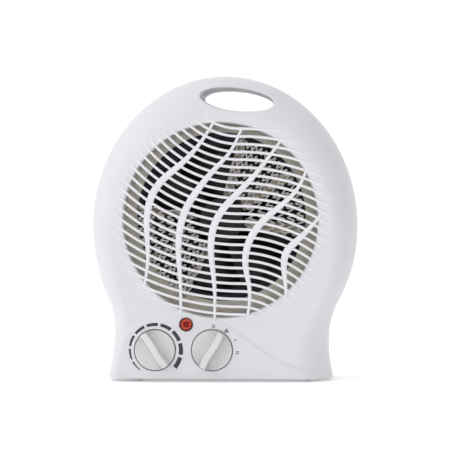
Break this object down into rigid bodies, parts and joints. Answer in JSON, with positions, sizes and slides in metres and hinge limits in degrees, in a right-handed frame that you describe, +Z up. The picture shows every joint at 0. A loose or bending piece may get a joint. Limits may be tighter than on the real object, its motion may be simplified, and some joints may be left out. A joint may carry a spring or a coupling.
{
  "type": "fan convector heater",
  "caption": "Upright portable electric fan heater: oval case on a flared base with a carrying hole, swirled outlet grille, two rotary controls and an indicator lamp.",
  "frame": {"origin": "on the floor, at the middle of the heater's box", "axes": "+Z up, front towards -Y, +X to the right seen from the front"},
  "size_m": [0.223, 0.124, 0.2555],
  "materials": {
    "case_plastic": "satin moulded",
    "knob_plastic": "satin moulded",
    "lens_red": "clear red",
    "lamp_glass": "clear",
    "mica": "matt flecked",
    "ribbon_steel": "heat tinted",
    "zinc_steel": "galvanised",
    "lamination": "dull",
    "coil_tape": "taped",
    "fan_dark": "dark",
    "black_plastic": "moulded",
    "white_nylon": "moulded",
    "foot_rubber": "soft pale grey",
    "screw_steel": "zinc"
  },
  "bodies": {
    "case": {"front_shell": "case_plastic", "rear_shell": "case_plastic", "front_grille": "case_plastic", "thermostat_body": "black_plastic", "selector_switch": "black_plastic", "control_plate": "zinc_steel", "indicator_lens": "lens_red", "neon_lamp": "lamp_glass", "heating_ribbon_lower_left": "ribbon_steel", "heating_ribbon_upper_right": "ribbon_steel", "mica_frame": "mica", "element_bracket": "fan_dark", "heater_plate": "zinc_steel", "thermal_cutout": "black_plastic", "fan_duct": "zinc_steel", "motor_spider": "zinc_steel", "motor_stator": "lamination", "motor_coil": "coil_tape", "front_bearing_bridge": "zinc_steel", "rear_bearing_bridge": "zinc_steel", "motor_screws": "screw_steel", "foot_front_left": "foot_rubber", "foot_front_right": "foot_rubber", "foot_rear_left": "foot_rubber", "foot_rear_right": "foot_rubber", "tip_switch": "black_plastic", "cord_gland": "black_plastic", "terminal_block": "white_nylon", "case_screws": "screw_steel", "heater_screws": "screw_steel", "control_plate_screws": "screw_steel", "mica_fin_1": "mica", "mica_fin_2": "mica", "mica_fin_3": "mica", "mica_fin_4": "mica", "mica_fin_5": "mica", "mica_fin_6": "mica"},
    "thermostat": {"thermostat_knob": "knob_plastic", "thermostat_spindle": "zinc_steel"},
    "selector": {"selector_knob": "knob_plastic", "selector_spindle": "zinc_steel"},
    "fan": {"fan_impeller": "fan_dark", "motor_shaft": "zinc_steel", "motor_rotor": "lamination"},
    "tip_pin": {"tip_pin": "white_nylon"}
  },
  "joints": [
    {"name": "thermostat_turn", "type": "hinge", "parent": "case", "child": "thermostat", "pos_m": [-0.0569, -0.052, 0.0265], "axis": [0, -1, 0], "range_deg": [0, 290]},
    {"name": "selector_turn", "type": "hinge", "parent": "case", "child": "selector", "pos_m": [-0.0095, -0.052, 0.0265], "axis": [0, -1, 0], "range_deg": [-62, 31]},
    {"name": "fan_spin", "type": "hinge", "parent": "case", "child": "fan", "pos_m": [-0.0026, 0, 0.1344], "axis": [0, -1, 0], "continuous": true},
    {"name": "tip_pin_slide", "type": "slide", "parent": "case", "child": "tip_pin", "axis": [0, 0, -1], "range_m": [0, 0.006], "stiffness_N_per_m": 60, "springref_m": 0.014}
  ]
}
